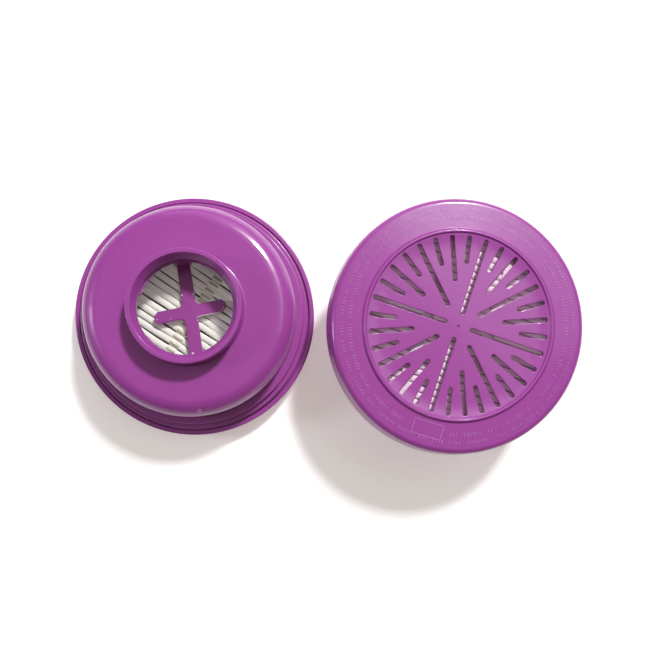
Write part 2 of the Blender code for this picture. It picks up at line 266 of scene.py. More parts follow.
# Half of a fold's round tip: (across in pitches, drop from the tip in metres)
PLEAT_CREST = (
    (-0.375, -1.5 * MM),
    (-0.405, -0.75 * MM),
    (-0.385, -0.38 * MM),
    (-0.31, -0.16 * MM),
    (-0.17, -0.04 * MM),
    (0.0, 0.0),
)

# Unevenness of the folds, greatest at the outlet tips; each lift, lean and reach is in millimetres
PLEAT_LIFT = (-0.22, 0.12)
PLEAT_LEAN = (-0.12, 0.12)
PLEAT_TIP_POWER = 4
SWAY_REACH = 0.55
SWAY_PER_METRE = 90
SWAY_PER_PLEAT = 1.7
SWAY_PLACE = 3.0
SWAY_INLET_SHARE = 0.35
SWAY_OUTLET_SHARE = 0.65
SWELL_REACH = 0.3
SWELL_PER_METRE = 160
SWELL_PER_PLEAT = 2.3
SWELL_PLACE = 12.0

# Distance from the cartridge's mid-height over which painted pink bounce light from the plastic is laid
# on the paper towards its inlet folds; the outlet folds lie near mid-height and keep the plain colour
BOUNCE_TINT_SPAN = (6.0 * MM, 13.0 * MM)

# Painted glow: the paper gives off light of its own by height in the frame, standing in for light that
# soaks through the thin folds: first the tips by the left outlet, then those by the right inlet
GLOW_SPAN = (15.0 * MM, 33.0 * MM)
GLOW_STOPS = ((0.17, 0.0), (0.25, 0.85), (0.30, 0.85), (0.40, 0.0), (0.87, 0.0), (0.93, 0.5))
GLOW_STRENGTH = 0.13

# Hot-melt strands
STRAND_SPACING = 22.0 * MM
STRAND_HALF_WIDTH = 1.9 * MM
STRAND_HALF_HEIGHT = 0.34 * MM
STRAND_STEPS = 240
STRAND_SIDES = 14
STRAND_END_MARGIN = 1.2 * MM
STRAND_END_POWER = 14
STRAND_END_SHARE = 0.1
STRAND_LUMPS = 0.28
STRAND_LUMPS_PER_METRE = 300
STRAND_WANDER = 0.35 * MM
STRAND_WANDER_PER_METRE = 120
STRAND_WANDER_PLACE = 5.0
STRAND_DIP = 1.1 * MM
STRAND_DIP_POWER = 4
STRAND_GAP_POWER = 6
MIDDLE_STRAND_OFFSET = 0.8 * MM
OUTLET_STRAND_RISE = 0.15 * MM
OUTLET_STRAND_BOW = 0.5 * MM
INLET_STRAND_DROP = 0.45 * MM
INLET_STRAND_BOW = 0.3 * MM
INLET_STRAND_SEED = 50

# Colours, each as (thick or plain, thin or pale)
SHELL_COLOURS = ((0.335, 0.052, 0.315, 1.0), (0.36, 0.062, 0.34, 1.0))
GUARD_COLOURS = ((0.335, 0.050, 0.305, 1.0), (0.36, 0.062, 0.335, 1.0))
# Paler plastic: on the raised ticks a painted highlight where their edges catch light; it also colours the
# shoulder gate mark
PALE_SHEEN_COLOURS = ((0.42, 0.12, 0.41, 1.0), (0.50, 0.18, 0.49, 1.0))
# Pale plastic of the flash and nibs on the cross: painted highlights where its edges glint
GLINT_COLOURS = ((0.80, 0.60, 0.80, 1.0), (0.95, 0.85, 0.95, 1.0))
# Darker plastic for the hub gate mark
DARK_MARK_COLOURS = ((0.10, 0.014, 0.085, 1.0), (0.16, 0.03, 0.14, 1.0))
PAPER_COLOURS = ((0.84, 0.85, 0.79, 1.0), (0.97, 0.98, 0.94, 1.0))
# Painted pink bounce light from the magenta plastic, laid on the paper's inlet folds
PAPER_BOUNCE_TINT_COLOURS = ((0.88, 0.62, 0.78, 1.0), (0.99, 0.86, 0.95, 1.0))
PAPER_DUST = (0.66, 0.65, 0.50, 1.0)
GLUE_COLOURS = ((0.58, 0.57, 0.38, 1.0), (0.86, 0.85, 0.72, 1.0))
# Pale hot melt on the inlet folds, tinted with the same painted pink bounce light as the inlet paper
PALE_GLUE_BOUNCE_TINT_COLOURS = ((0.84, 0.62, 0.77, 1.0), (0.97, 0.84, 0.93, 1.0))
RESIN_COLOURS = ((0.60, 0.55, 0.38, 1.0), (0.76, 0.72, 0.56, 1.0))
FLOOR_GREYS = (0.90, 0.94)
FLOOR_GLOW_COLOUR = (1.0, 0.93, 0.84, 1.0)
FLOOR_GLOW_STRENGTH = 0.34

# Stage
FLOOR_HALF = 1.5
FLOOR_LEVEL = -0.05 * MM
AIM = Vector((0.0, 0.0, 0.02))
WORLD_COLOUR = (1.0, 0.90, 0.74, 1.0)
WORLD_STRENGTH = 0.08
WHITE = (1.0, 1.0, 1.0)
# Lights: name, azimuth and elevation in degrees, distance, (width, length), power, colour
LIGHTS = (
    ("key", 62.0, 50.0, 1.0, (0.11, 0.11), 9.0, WHITE),
    ("north_window", 88.0, 30.0, 1.0, (0.9, 0.35), 1.3, (0.82, 0.90, 1.0)),
    ("east_window", 36.0, 60.0, 1.0, (0.6, 0.4), 1.1, (0.85, 0.93, 1.0)),
    ("west_window", 176.0, 33.0, 1.0, (0.16, 0.22), 2.0, (0.85, 0.92, 1.0)),
    ("overhead", 0.0, 88.0, 1.2, (1.2, 1.2), 1.3, (1.0, 0.88, 0.70)),
)

# Camera
CAMERA_PLACE = (-0.01194, -0.02669, 0.23364)
CAMERA_TILT = (0.0111, -0.0475, 0.0021)
CAMERA_LENS = 33.334
CAMERA_SHIFT = (0.0154, 0.0995)
CAMERA_SENSOR = 36.0
CAMERA_CLIP = (0.01, 10.0)


def clear_scene():
    for obj in list(bpy.data.objects):
        bpy.data.objects.remove(obj, do_unlink=True)


# ---------------------------------------------------------------- materials


def new_material(name):
    made = bpy.data.materials.new(name)
    made.use_nodes = True
    tree = made.node_tree
    shader = tree.nodes["Principled BSDF"]
    place = tree.nodes.new("ShaderNodeTexCoord").outputs["Object"]
    return made, tree, shader, place


def noise_of(tree, place, size, detail, distortion=0.0):
    """A noise texture whose features are about size across."""
    made = tree.nodes.new("ShaderNodeTexNoise")
    made.inputs["Scale"].default_value = 1.0 / size
    made.inputs["Detail"].default_value = detail
    made.inputs["Distortion"].default_value = distortion
    tree.links.new(place, made.inputs["Vector"])
    return made.outputs["Fac"]


def ramp(tree, source, stops):
    """The source through (position, colour) stops."""
    made = tree.nodes.new("ShaderNodeValToRGB")
    made.color_ramp.elements[0].position = stops[0][0]
    made.color_ramp.elements[0].color = stops[0][1]
    made.color_ramp.elements[1].position = stops[-1][0]
    made.color_ramp.elements[1].color = stops[-1][1]
    for position, colour in stops[1:-1]:
        made.color_ramp.elements.new(position).color = colour
    tree.links.new(source, made.inputs["Fac"])
    return made.outputs["Color"]


def mixed(tree, factor, a, b, mode="MIX"):
    made = tree.nodes.new("ShaderNodeMix")
    made.data_type = "RGBA"
    made.blend_type = mode
    for source, socket in ((factor, made.inputs[0]), (a, made.inputs[6]), (b, made.inputs[7])):
        if isinstance(source, (float, tuple)):
            socket.default_value = source
        else:
            tree.links.new(source, socket)
    return made.outputs[2]


def spread(tree, source, low, high):
    """A source of 0 to 1 as low to high."""
    made = tree.nodes.new("ShaderNodeMapRange")
    made.inputs["To Min"].default_value = low
    made.inputs["To Max"].default_value = high
    tree.links.new(source, made.inputs["Value"])
    return made.outputs["Result"]


def spread_from(tree, source, low, high):
    """A source of low to high as 0 to 1."""
    made = tree.nodes.new("ShaderNodeMapRange")
    made.inputs["From Min"].default_value = low
    made.inputs["From Max"].default_value = high
    tree.links.new(source, made.inputs["Value"])
    return made.outputs["Result"]


def bump(tree, height, depth, strength, below=None):
    made = tree.nodes.new("ShaderNodeBump")
    made.inputs["Distance"].default_value = depth
    made.inputs["Strength"].default_value = strength
    tree.links.new(height, made.inputs["Height"])
    if below is not None:
        tree.links.new(below, made.inputs["Normal"])
    return made.outputs["Normal"]


def grey(value):
    return (value, value, value, 1.0)


def plastic(name, colours, roughness):
    """Satin moulded plastic: slow colour drift, a fine eroded grain, faint flow waves and dust."""
    made, tree, shader, place = new_material(name)
    base, pale = colours
    drift = noise_of(tree, place, 14.0 * MM, detail=3.0, distortion=0.4)
    colour = mixed(tree, spread(tree, drift, low=0.0, high=1.0), base, pale)
    dots = noise_of(tree, place, 0.5 * MM, detail=4.0)
    specks = ramp(tree, dots, [(0.70, grey(0.0)), (0.78, grey(1.0))])
    colour = mixed(tree, spread(tree, specks, low=0.0, high=0.15), colour, pale)
    tree.links.new(colour, shader.inputs["Base Color"])
    rough = noise_of(tree, place, 3.0 * MM, detail=5.0)
    worn = spread(tree, rough, low=roughness - 0.05, high=roughness + 0.06)
    tree.links.new(worn, shader.inputs["Roughness"])
    flow = noise_of(tree, place, 9.0 * MM, detail=2.0)
    waves = bump(tree, flow, depth=0.25 * MM, strength=0.35)
    pits = noise_of(tree, place, 0.22 * MM, detail=3.0)
    grain = bump(tree, pits, depth=0.02 * MM, strength=0.5, below=waves)
    tree.links.new(grain, shader.inputs["Normal"])
    shader.inputs["Specular IOR Level"].default_value = 0.4
    shader.inputs["Coat Weight"].default_value = 0.45
    shader.inputs["Coat Roughness"].default_value = 0.1
    return made


def paper(name):
    """Fibrous filter paper, dusty in patches, with painted pink bounce light at the inlet and a painted glow
    at tips.
    """
    made, tree, shader, place = new_material(name)
    fibres = noise_of(tree, place, 0.35 * MM, detail=6.0, distortion=1.6)
    patches = noise_of(tree, place, 6.0 * MM, detail=4.0)
    colour = mixed(tree, fibres, *PAPER_COLOURS)
    colour = mixed(tree, spread(tree, patches, low=0.0, high=0.5), colour, PAPER_DUST)
    split = tree.nodes.new("ShaderNodeSeparateXYZ")
    tree.links.new(place, split.inputs["Vector"])
    middle = tree.nodes.new("ShaderNodeMath")
    middle.operation = "SUBTRACT"
    tree.links.new(split.outputs["Z"], middle.inputs[0])
    middle.inputs[1].default_value = LIP_LEVEL / 2
    away = tree.nodes.new("ShaderNodeMath")
    away.operation = "ABSOLUTE"
    tree.links.new(middle.outputs["Value"], away.inputs[0])
    # Painted pink bounce light, growing towards the inlet folds
    towards = spread_from(tree, away.outputs["Value"], *BOUNCE_TINT_SPAN)
    inlet = ramp(tree, towards, [(0.0, grey(0.0)), (1.0, grey(1.0))])
    colour = mixed(tree, inlet, colour, mixed(tree, fibres, *PAPER_BOUNCE_TINT_COLOURS))
    tree.links.new(colour, shader.inputs["Base Color"])
    tree.links.new(colour, shader.inputs["Emission Color"])
    # Painted glow: the paper gives off light near some fold tips, standing in for light soaking through
    along = spread_from(tree, split.outputs["Z"], *GLOW_SPAN)
    glow = ramp(tree, along, [(share, grey(value)) for share, value in GLOW_STOPS])
    strength = spread(tree, glow, low=0.0, high=GLOW_STRENGTH)
    tree.links.new(strength, shader.inputs["Emission Strength"])
    tree.links.new(spread(tree, fibres, low=0.82, high=1.0), shader.inputs["Roughness"])
    tree.links.new(bump(tree, fibres, depth=0.12 * MM, strength=0.6), shader.inputs["Normal"])
    shader.inputs["Specular IOR Level"].default_value = 0.2
    return made


def lumpy(name, colours, size, detail, distortion, roughness, depth, strength):
    """A material whose colour, roughness and bump all follow one cloud of noise."""
    made, tree, shader, place = new_material(name)
    cloud = noise_of(tree, place, size, detail, distortion)
    tree.links.new(mixed(tree, cloud, *colours), shader.inputs["Base Color"])
    tree.links.new(spread(tree, cloud, *roughness), shader.inputs["Roughness"])
    tree.links.new(bump(tree, cloud, depth, strength), shader.inputs["Normal"])
    return made


def hot_melt(name, colours):
    """Hot-melt glue, glossy and lumpy, paler where it is thin."""
    return lumpy(name, colours, 1.6 * MM, 4.0, 0.6, roughness=(0.28, 0.5), depth=0.4 * MM, strength=0.6)


def resin(name):
    """Cast potting resin with a clouded surface."""
    return lumpy(
        name, RESIN_COLOURS, 4.0 * MM, 5.0, 0.0, roughness=(0.35, 0.6), depth=0.3 * MM, strength=0.4
    )


def floor_material(name):
    """Plain pale paint, a little lit from within so that it stays near white."""
    made, tree, shader, place = new_material(name)
    cloud = noise_of(tree, place, 120.0 * MM, detail=3.0)
    colour = mixed(tree, cloud, grey(FLOOR_GREYS[0]), grey(FLOOR_GREYS[1]))
    tree.links.new(colour, shader.inputs["Base Color"])
    tree.links.new(spread(tree, cloud, low=0.75, high=0.9), shader.inputs["Roughness"])
    shader.inputs["Specular IOR Level"].default_value = 0.1
    shader.inputs["Emission Color"].default_value = FLOOR_GLOW_COLOUR
    shader.inputs["Emission Strength"].default_value = FLOOR_GLOW_STRENGTH
    return made


# ---------------------------------------------------------------- mesh helpers


def filleted(corners, closed):
    """(radius, level, rounding) corners as a fine section, with support points beside each arc."""
    section = []
    count = len(corners)
    for i, (radius, level, rounding) in enumerate(corners):
        here = Vector((radius, level))
        if rounding == 0.0 or (not closed and i in (0, count - 1)):
            section.append(here)
            continue
        before = Vector(corners[i - 1][:2]) - here
        after = Vector(corners[(i + 1) % count][:2]) - here
        opening = before.angle(after)
        reach = rounding / math.tan(opening / 2)
        start = here + before.normalized() * reach
        middle = here + (before.normalized() + after.normalized()).normalized() * (
            rounding / math.sin(opening / 2)
        )
        arm = start - middle
        turn = math.pi - opening
        if before.cross(after) > 0:
            turn = -turn
        steps = max(ARC_LEAST_STEPS, math.ceil(abs(turn) / ARC_STEP))
        for k in range(steps + 1):
            angle = turn * k / steps
            c, s = math.cos(angle), math.sin(angle)
            section.append(middle + Vector((arm.x * c - arm.y * s, arm.x * s + arm.y * c)))
    supported = []
    last = len(section) if closed else len(section) - 1
    for i, here in enumerate(section):
        supported.append(here)
        if i >= last:
            continue
        step = section[(i + 1) % len(section)] - here
        if step.length > SUPPORT_FROM:
            supported.append(here + step.normalized() * SUPPORT)
            supported.append(here + step - step.normalized() * SUPPORT)
    return [(point.x, point.y) for point in supported]


def lathe(bm, section, steps, closed):
    """The section turned about the axis. Returns one list of vertices per angle."""
    rings = []
    for i in range(steps):
        angle = 2 * math.pi * i / steps
        c, s = math.cos(angle), math.sin(angle)
        rings.append([bm.verts.new((radius * c, radius * s, level)) for radius, level in section])
    count = len(section)
    for ring, following in zip(rings, rings[1:] + rings[:1]):
        for k in range(count if closed else count - 1):
            m = (k + 1) % count
            bm.faces.new((ring[k], following[k], following[m], ring[m]))
    return rings


def bridged(bm, near, far):
    """Quads between two loops of the same number of vertices."""
    for i in range(len(near)):
        j = (i + 1) % len(near)
        bm.faces.new((near[i], near[j], far[j], far[i]))


def mesh_from(bm, name, smooth_angle=None):
    bmesh.ops.recalc_face_normals(bm, faces=bm.faces)
    mesh = bpy.data.meshes.new(name)
    bm.to_mesh(mesh)
    bm.free()
    mesh.shade_smooth()
    if smooth_angle is not None:
        mesh.set_sharp_from_angle(angle=smooth_angle)
    return mesh


def arc(middle, radius, start, end, steps):
    """Points along an arc, start and end given in degrees."""
    found = []
    for i in range(steps + 1):
        angle = math.radians(start + (end - start) * i / steps)
        found.append((middle[0] + radius * math.cos(angle), middle[1] + radius * math.sin(angle)))
    return found


# ---------------------------------------------------------------- inlet cover


def slot_inner(index):
    """How near the axis a slot reaches: four main ones, four diagonals, eight middle and sixteen short."""
    if index % 8 == 0:
        return MAIN_SLOT_INNER
    if index % 8 == 4:
        return DIAGONAL_SLOT_INNER
    return MIDDLE_SLOT_INNER if index % 4 == 2 else SHORT_SLOT_INNER


def slot_outline(index, margin):
    """The slot's stadium outline grown by margin, turned into its place."""
    half = SLOT_WIDTH / 2 + margin
    inner = slot_inner(index) + SLOT_WIDTH / 2
    outer = SLOT_OUTER_RADIUS - SLOT_WIDTH / 2
    outline = arc((outer, 0.0), half, -90.0, 90.0, SLOT_END_STEPS)
    for k in range(1, SLOT_SIDE_STEPS):
        outline.append((outer + (inner - outer) * k / SLOT_SIDE_STEPS, half))
    outline += arc((inner, 0.0), half, 90.0, 270.0, SLOT_END_STEPS)
    for k in range(1, SLOT_SIDE_STEPS):
        outline.append((inner + (outer - inner) * k / SLOT_SIDE_STEPS, -half))
    turn = Matrix.Rotation(2 * math.pi * index / SLOT_PLACES, 2)
    return [turn @ Vector(point) for point in outline]


def slot_rings():
    """(margin, level) of the rings down a slot's wall, from the inlet face to the inside."""
    rings = [(SLOT_ROUNDING + SLOT_SUPPORT, DISC_LEVEL)]
    for k in range(SLOT_ROUNDING_STEPS + 1):
        angle = math.pi / 2 * k / SLOT_ROUNDING_STEPS
        level = DISC_LEVEL + SLOT_ROUNDING * (1 - math.cos(angle))
        rings.append((SLOT_ROUNDING * (1 - math.sin(angle)), level))
    for k in range(SLOT_ROUNDING_STEPS, -1, -1):
        angle = math.pi / 2 * k / SLOT_ROUNDING_STEPS
        level = DISC_INSIDE_LEVEL - SLOT_ROUNDING * (1 - math.cos(angle))
        rings.append((SLOT_FLARE + SLOT_ROUNDING * (1 - math.sin(angle)), level))
    return rings + [(SLOT_FLARE + SLOT_ROUNDING + SLOT_SUPPORT, DISC_INSIDE_LEVEL)]


def dish(radius):
    """How far the disc's face rises towards its edge."""
    return DISH_DEPTH * (max(0.0, radius - DISH_FROM) / (DISC_EDGE_RADIUS - DISH_FROM)) ** 3


def cover_section():
    """Outwards over the bead, annulus and rim, then back along the seam and the inside."""
    corners = [
        (DISC_EDGE_RADIUS, DISC_LEVEL - DISH_DEPTH, 0.0),
        (DISC_CORNER_RADIUS, DISC_LEVEL - DISH_DEPTH, DISC_CORNER_ROUNDING),
        (BEAD_INNER_RADIUS, 0.0, ROUNDING),
        (BEAD_OUTER_RADIUS, 0.0, BEAD_OUTER_ROUNDING),
        (BEAD_FOOT_RADIUS, ANNULUS_LEVEL, ROUNDING),
        (RIM_TOP_RADIUS, ANNULUS_LEVEL + ANNULUS_FALL, RIM_ROUNDING),
        (RIM_RADIUS, SKIRT_TOP_LEVEL, RIM_EDGE_ROUNDING),
        (COVER_INNER_RADIUS, SKIRT_TOP_LEVEL, ROUNDING),
        (COVER_INNER_RADIUS, SEAM_LEVEL, SEAM_OUTER_ROUNDING),
        (SEAM_RADIUS, SEAM_LEVEL, SEAM_INNER_ROUNDING),
        (SEAM_RADIUS, COVER_INSIDE_LEVEL, ROUNDING),
        (COVER_INSIDE_RADIUS, DISC_INSIDE_LEVEL, ROUNDING),
        (BEAD_FOOT_RADIUS, ANNULUS_INSIDE_LEVEL, ROUNDING),
        (DISC_INSIDE_RADIUS, DISC_INSIDE_LEVEL, DISC_INSIDE_ROUNDING),
        (DISC_EDGE_RADIUS, DISC_INSIDE_LEVEL, 0.0),
    ]
    return filleted(corners, False)


def in_a_slot(x, y, margin):
    """True where the point lies in a slot grown by margin."""
    radius = math.hypot(x, y)
    step = 2 * math.pi / SLOT_PLACES
    nearest = round(math.atan2(y, x) / step)
    for index in (nearest - 1, nearest, nearest + 1):
        angle = math.atan2(y, x) - index * step
        along, across = radius * math.cos(angle), radius * math.sin(angle)
        half = SLOT_WIDTH / 2
        inner = slot_inner(index % SLOT_PLACES) + half
        off = along - min(max(along, inner), SLOT_OUTER_RADIUS - half)
        if math.hypot(off, across) < half + margin:
            return True
    return False


def fill_disc(bm, loops, level, margin):
    """Triangles between the outer circle, which is the first loop, and the slots, over a grid of points."""
    verts = [vert for loop in loops for vert in loop]
    edges = []
    start = 0
    for loop in loops:
        count = len(loop)
        edges += [(start + i, start + (i + 1) % count) for i in range(count)]
        start += count
    radius = DISC_GRID
    while radius < DISC_EDGE_RADIUS - DISC_GRID / 2:
        count = round(2 * math.pi * radius / DISC_GRID)
        for i in range(count):
            x = radius * math.cos(2 * math.pi * i / count)
            y = radius * math.sin(2 * math.pi * i / count)
            if not in_a_slot(x, y, margin + GRID_CLEARANCE):
                verts.append(bm.verts.new((x, y, level)))
        radius += DISC_GRID
    flat = [Vector((vert.co.x / MM, vert.co.y / MM)) for vert in verts]
    points, _, faces, origins, _, _ = delaunay_2d_cdt(flat, edges, [], 0, GRID_MERGE)
    for face in faces:
        middle = sum((points[i] for i in face), Vector((0.0, 0.0))) / len(face) * MM
        inside = middle.length < DISC_EDGE_RADIUS * math.cos(math.pi / ROUND_STEPS)
        if inside and not in_a_slot(middle.x, middle.y, margin - SLOT_SUPPORT / 2):
            bm.faces.new([verts[origins[i][0]] for i in face])


def cover_mesh():
    """The cap with its disc's radial slots cut through and its disc dished towards the edge."""
    bm = bmesh.new()
    rings = lathe(bm, cover_section(), ROUND_STEPS, False)
    face_loops = [[ring[0] for ring in rings]]
    inside_loops = [[ring[-1] for ring in rings]]
    for index in range(SLOT_PLACES):
        loops = []
        for margin, level in slot_rings():
            loops.append([bm.verts.new((p.x, p.y, level)) for p in slot_outline(index, margin)])
        for near, far in zip(loops, loops[1:]):
            bridged(bm, near, far)
        face_loops.append(loops[0])
        inside_loops.append(loops[-1])
    fill_disc(bm, face_loops, DISC_LEVEL, SLOT_ROUNDING + SLOT_SUPPORT)
    fill_disc(bm, inside_loops, DISC_INSIDE_LEVEL, SLOT_FLARE + SLOT_ROUNDING + SLOT_SUPPORT)
    middle = (DISC_LEVEL + DISC_INSIDE_LEVEL) / 2
    for vert in bm.verts:
        radius = math.hypot(vert.co.x, vert.co.y)
        if radius < DISC_EDGE_RADIUS - SLOT_SUPPORT and vert.co.z < middle:
            vert.co.z -= dish(radius)
    return mesh_from(bm, "inlet_cover")


def annulus_level(radius):
    """Level of the annulus's face, which falls slightly towards the rim."""
    share = (radius - BEAD_FOOT_RADIUS) / (RIM_TOP_RADIUS - BEAD_FOOT_RADIUS)
    return ANNULUS_LEVEL + ANNULUS_FALL * share


def add_tick(bm, middle, size, turn):
    """A low bar on the annulus with sloped sides, sunk a little into its face."""
    low, high = [], []
    for x, y in ((-1, -1), (1, -1), (1, 1), (-1, 1)):
        foot = turn @ Vector((middle[0] + x * size[0] / 2, middle[1] + y * size[1] / 2, 0.0))
        top = turn @ Vector(
            (middle[0] + x * (size[0] / 2 - TICK_INSET), middle[1] + y * (size[1] / 2 - TICK_INSET), 0.0)
        )
        base = annulus_level(foot.length)
        low.append(bm.verts.new((foot.x, foot.y, base + TICK_SINK)))
        high.append(bm.verts.new((top.x, top.y, base - TICK_HEIGHT)))
    bm.faces.new(low)
    bm.faces.new(high)
    bridged(bm, low, high)


def ticks_mesh(draw):
    """Rows of plain ticks in uneven groups, and an empty raised rectangle in the inner row."""
    bm = bmesh.new()
    for row, (radius, length) in enumerate(TICK_ROWS):
        run = 0.0
        left = draw.randint(*TICK_GROUP)
        while run < 2 * math.pi - TICK_SPACE / radius:
            long = length * draw.uniform(*TICK_LENGTH_SPREAD)
            size = (long, TICK_WIDTH * draw.uniform(*TICK_WIDTH_SPREAD))
            if row == 0 or abs(run - PLATE_ANGLE) > PLATE_HALF_ANGLE:
                add_tick(bm, (radius, 0.0), size, Matrix.Rotation(run, 3, "Z"))
            run += TICK_PITCH * draw.uniform(*TICK_PITCH_SPREAD) / radius
            left -= 1
            if left == 0:
                run += TICK_SPACE * draw.uniform(*TICK_SPACE_SPREAD) / radius
                left = draw.randint(*TICK_GROUP)
    turn = Matrix.Rotation(PLATE_ANGLE, 3, "Z")
    height, width = PLATE_SIZE
    for end in (-1, 1):
        add_tick(bm, (PLATE_RADIUS + end * height / 2, 0.0), (TICK_WIDTH, width), turn)
        side = (height - TICK_WIDTH, TICK_WIDTH)
        add_tick(bm, (PLATE_RADIUS, end * (width - TICK_WIDTH) / 2), side, turn)
    return mesh_from(bm, "annulus_ticks", TICK_SHARP_ANGLE)


# ---------------------------------------------------------------- outlet housing


def housing_section():
    """From the lip down the outside to the skirt, then back up the inside to the bore and throat."""
    skirt_inner = SKIRT_RADIUS - SHELL
    inner_body = BODY_RADIUS - SHELL
    ledge_inside = UPPER_LEDGE_LEVEL - SHELL
    top_inside = TOP_LEVEL - SHELL
    corners = [
        (LIP_INNER_RADIUS, LIP_LEVEL, ROUNDING),
        (COLLAR_RADIUS, LIP_LEVEL, COLLAR_EDGE_ROUNDING),
        (COLLAR_RADIUS, TOP_LEVEL, COLLAR_FOOT_ROUNDING),
        (BODY_RADIUS, TOP_LEVEL, SHOULDER_ROUNDING),
        (BODY_RADIUS, UPPER_LEDGE_LEVEL, BODY_FOOT_ROUNDING),
        (UPPER_LEDGE_RADIUS, UPPER_LEDGE_LEVEL, LEDGE_ROUNDING),
        (LOWER_LEDGE_INNER_RADIUS, LOWER_LEDGE_LEVEL, LEDGE_ROUNDING),
        (SKIRT_RADIUS, LOWER_LEDGE_LEVEL, SKIRT_EDGE_ROUNDING),
        (SKIRT_RADIUS, SKIRT_BOTTOM_LEVEL, ROUNDING),
        (skirt_inner, SKIRT_BOTTOM_LEVEL, ROUNDING),
        (skirt_inner, LOWER_LEDGE_LEVEL - SHELL, SKIRT_INSIDE_ROUNDING),
        (LEDGE_INSIDE_RADIUS, ledge_inside, LEDGE_INSIDE_ROUNDING),
        (inner_body, ledge_inside, ROUNDING),
        (inner_body, top_inside, SHOULDER_ROUNDING - SHELL),
        (BORE_RADIUS, top_inside, ROUNDING),
    ]
    level = BORE_ROWS_FROM
    while level < BORE_ROWS_TO:
        corners.append((BORE_RADIUS, level, 0.0))
        level += BORE_ROW_STEP
    corners += [
        (BORE_RADIUS, BORE_TOP_LEVEL, 0.0),
        (THROAT_RADIUS, THROAT_BOTTOM_LEVEL, THROAT_BOTTOM_ROUNDING),
        (THROAT_RADIUS, THROAT_TOP_LEVEL, THROAT_TOP_ROUNDING),
    ]
    return filleted(corners, True)


def thread_rise(angle, level):
    """How far the thread ridge stands in from the bore's wall."""
    run = ((THREAD_START_ANGLE - angle) / (2 * math.pi)) % 1.0
    if run > THREAD_TURNS:
        return 0.0
    off = abs(level - (THREAD_START_LEVEL - THREAD_LEAD * run))
    if off >= THREAD_HALF_WIDTH:
        return 0.0
    flank = (THREAD_HALF_WIDTH - off) / (THREAD_HALF_WIDTH - THREAD_CREST_HALF_WIDTH)
    crest = THREAD_CREST_RADIUS + (THREAD_FADE_RADIUS - THREAD_CREST_RADIUS) * run / THREAD_TURNS
    ends = min(1.0, run / THREAD_END_RUN, (THREAD_TURNS - run) / THREAD_END_RUN)
    return (BORE_RADIUS - crest) * min(1.0, flank) * ends


def housing_mesh():
    """The shell, its bore's wall drawn in along the thread."""
    bm = bmesh.new()
    for ring in lathe(bm, housing_section(), ROUND_STEPS, True):
        for vert in ring:
            radius = math.hypot(vert.co.x, vert.co.y)
            on_wall = abs(radius - BORE_RADIUS) < BORE_NEARNESS
            if on_wall and BORE_ROWS_FROM < vert.co.z < BORE_ROWS_TO:
                rise = thread_rise(math.atan2(vert.co.y, vert.co.x), vert.co.z)
                vert.co.x *= (radius - rise) / radius
                vert.co.y *= (radius - rise) / radius
    return mesh_from(bm, "outlet_housing", SHARP_ANGLE)


def mark_mesh():
    """A small round gate mark, closed below and above."""
    corners = [(radius * MM, level * MM, rounding * MM) for radius, level, rounding in MARK_CORNERS]
    bm = bmesh.new()
    rings = lathe(bm, filleted(corners, False), MARK_STEPS, False)
    bm.faces.new([ring[0] for ring in rings])
    bm.faces.new([ring[-1] for ring in rings])
    return mesh_from(bm, "mark", SHARP_ANGLE)


# ---------------------------------------------------------------- cross guard


def guard_outline():
    """Half of the cross and the same turned half round, its arms leaning a little."""
    bar = GUARD_BAR_WIDTH / 2
    arm = GUARD_ARM_WIDTH / 2
    corner = GUARD_CORNER_ROUNDING
    quarter = [(GUARD_BAR_REACH, -bar), (GUARD_BAR_REACH, bar)]
    quarter += arc((arm + corner, bar + corner), corner, 270.0, 180.0, GUARD_CORNER_STEPS)
    quarter += [(arm, GUARD_ARM_REACH - GUARD_TIP_TAPER)]
    quarter += [(GUARD_TIP_HALF_WIDTH, GUARD_ARM_REACH), (-GUARD_TIP_HALF_WIDTH, GUARD_ARM_REACH)]
    quarter += [(-arm, GUARD_ARM_REACH - GUARD_TIP_TAPER)]
    quarter += arc((-arm - corner, bar + corner), corner, 0.0, -90.0, GUARD_CORNER_STEPS)
    outline = quarter + [(-x, -y) for x, y in quarter]
    return [(x - GUARD_ARM_LEAN * y if abs(y) > bar else x, y) for x, y in outline]


def prism_mesh(points, bottom, height):
    bm = bmesh.new()
    face = bm.faces.new([bm.verts.new((x, y, bottom)) for x, y in points])
    raised = bmesh.ops.extrude_face_region(bm, geom=[face])
    moved = [item for item in raised["geom"] if isinstance(item, bmesh.types.BMVert)]
    bmesh.ops.translate(bm, verts=moved, vec=(0.0, 0.0, height))
    return mesh_from(bm, "prism")


def united(mesh, other):
    """Both meshes as one solid."""
    objects = [bpy.data.objects.new("union", data) for data in (mesh, other)]
    for obj in objects:
        bpy.context.scene.collection.objects.link(obj)
    step = objects[0].modifiers.new("union", "BOOLEAN")
    step.operation = "UNION"
    step.solver = "EXACT"
    step.object = objects[1]
    bpy.context.view_layer.update()
    graph = bpy.context.evaluated_depsgraph_get()
    joined = bpy.data.meshes.new_from_object(objects[0].evaluated_get(graph))
    for obj in objects:
        bpy.data.objects.remove(obj, do_unlink=True)
    return joined


def guard_mesh():
    """The flat cross with a post on each end of its long bar."""
    bottom = GUARD_TOP_LEVEL - GUARD_THICKNESS
    made = prism_mesh(guard_outline(), bottom, GUARD_THICKNESS)
    half = GUARD_POST_WIDTH / 2
    for near, far in ((GUARD_POST_INNER, GUARD_BAR_REACH), (-GUARD_BAR_REACH, -GUARD_POST_INNER)):
        foot = [(near, -half), (far, -half), (far, half), (near, half)]
        made = united(made, prism_mesh(foot, bottom, GUARD_POST_TOP_LEVEL - bottom))
    made.transform(Matrix.Rotation(GUARD_ANGLE, 4, "Z"))
    return made


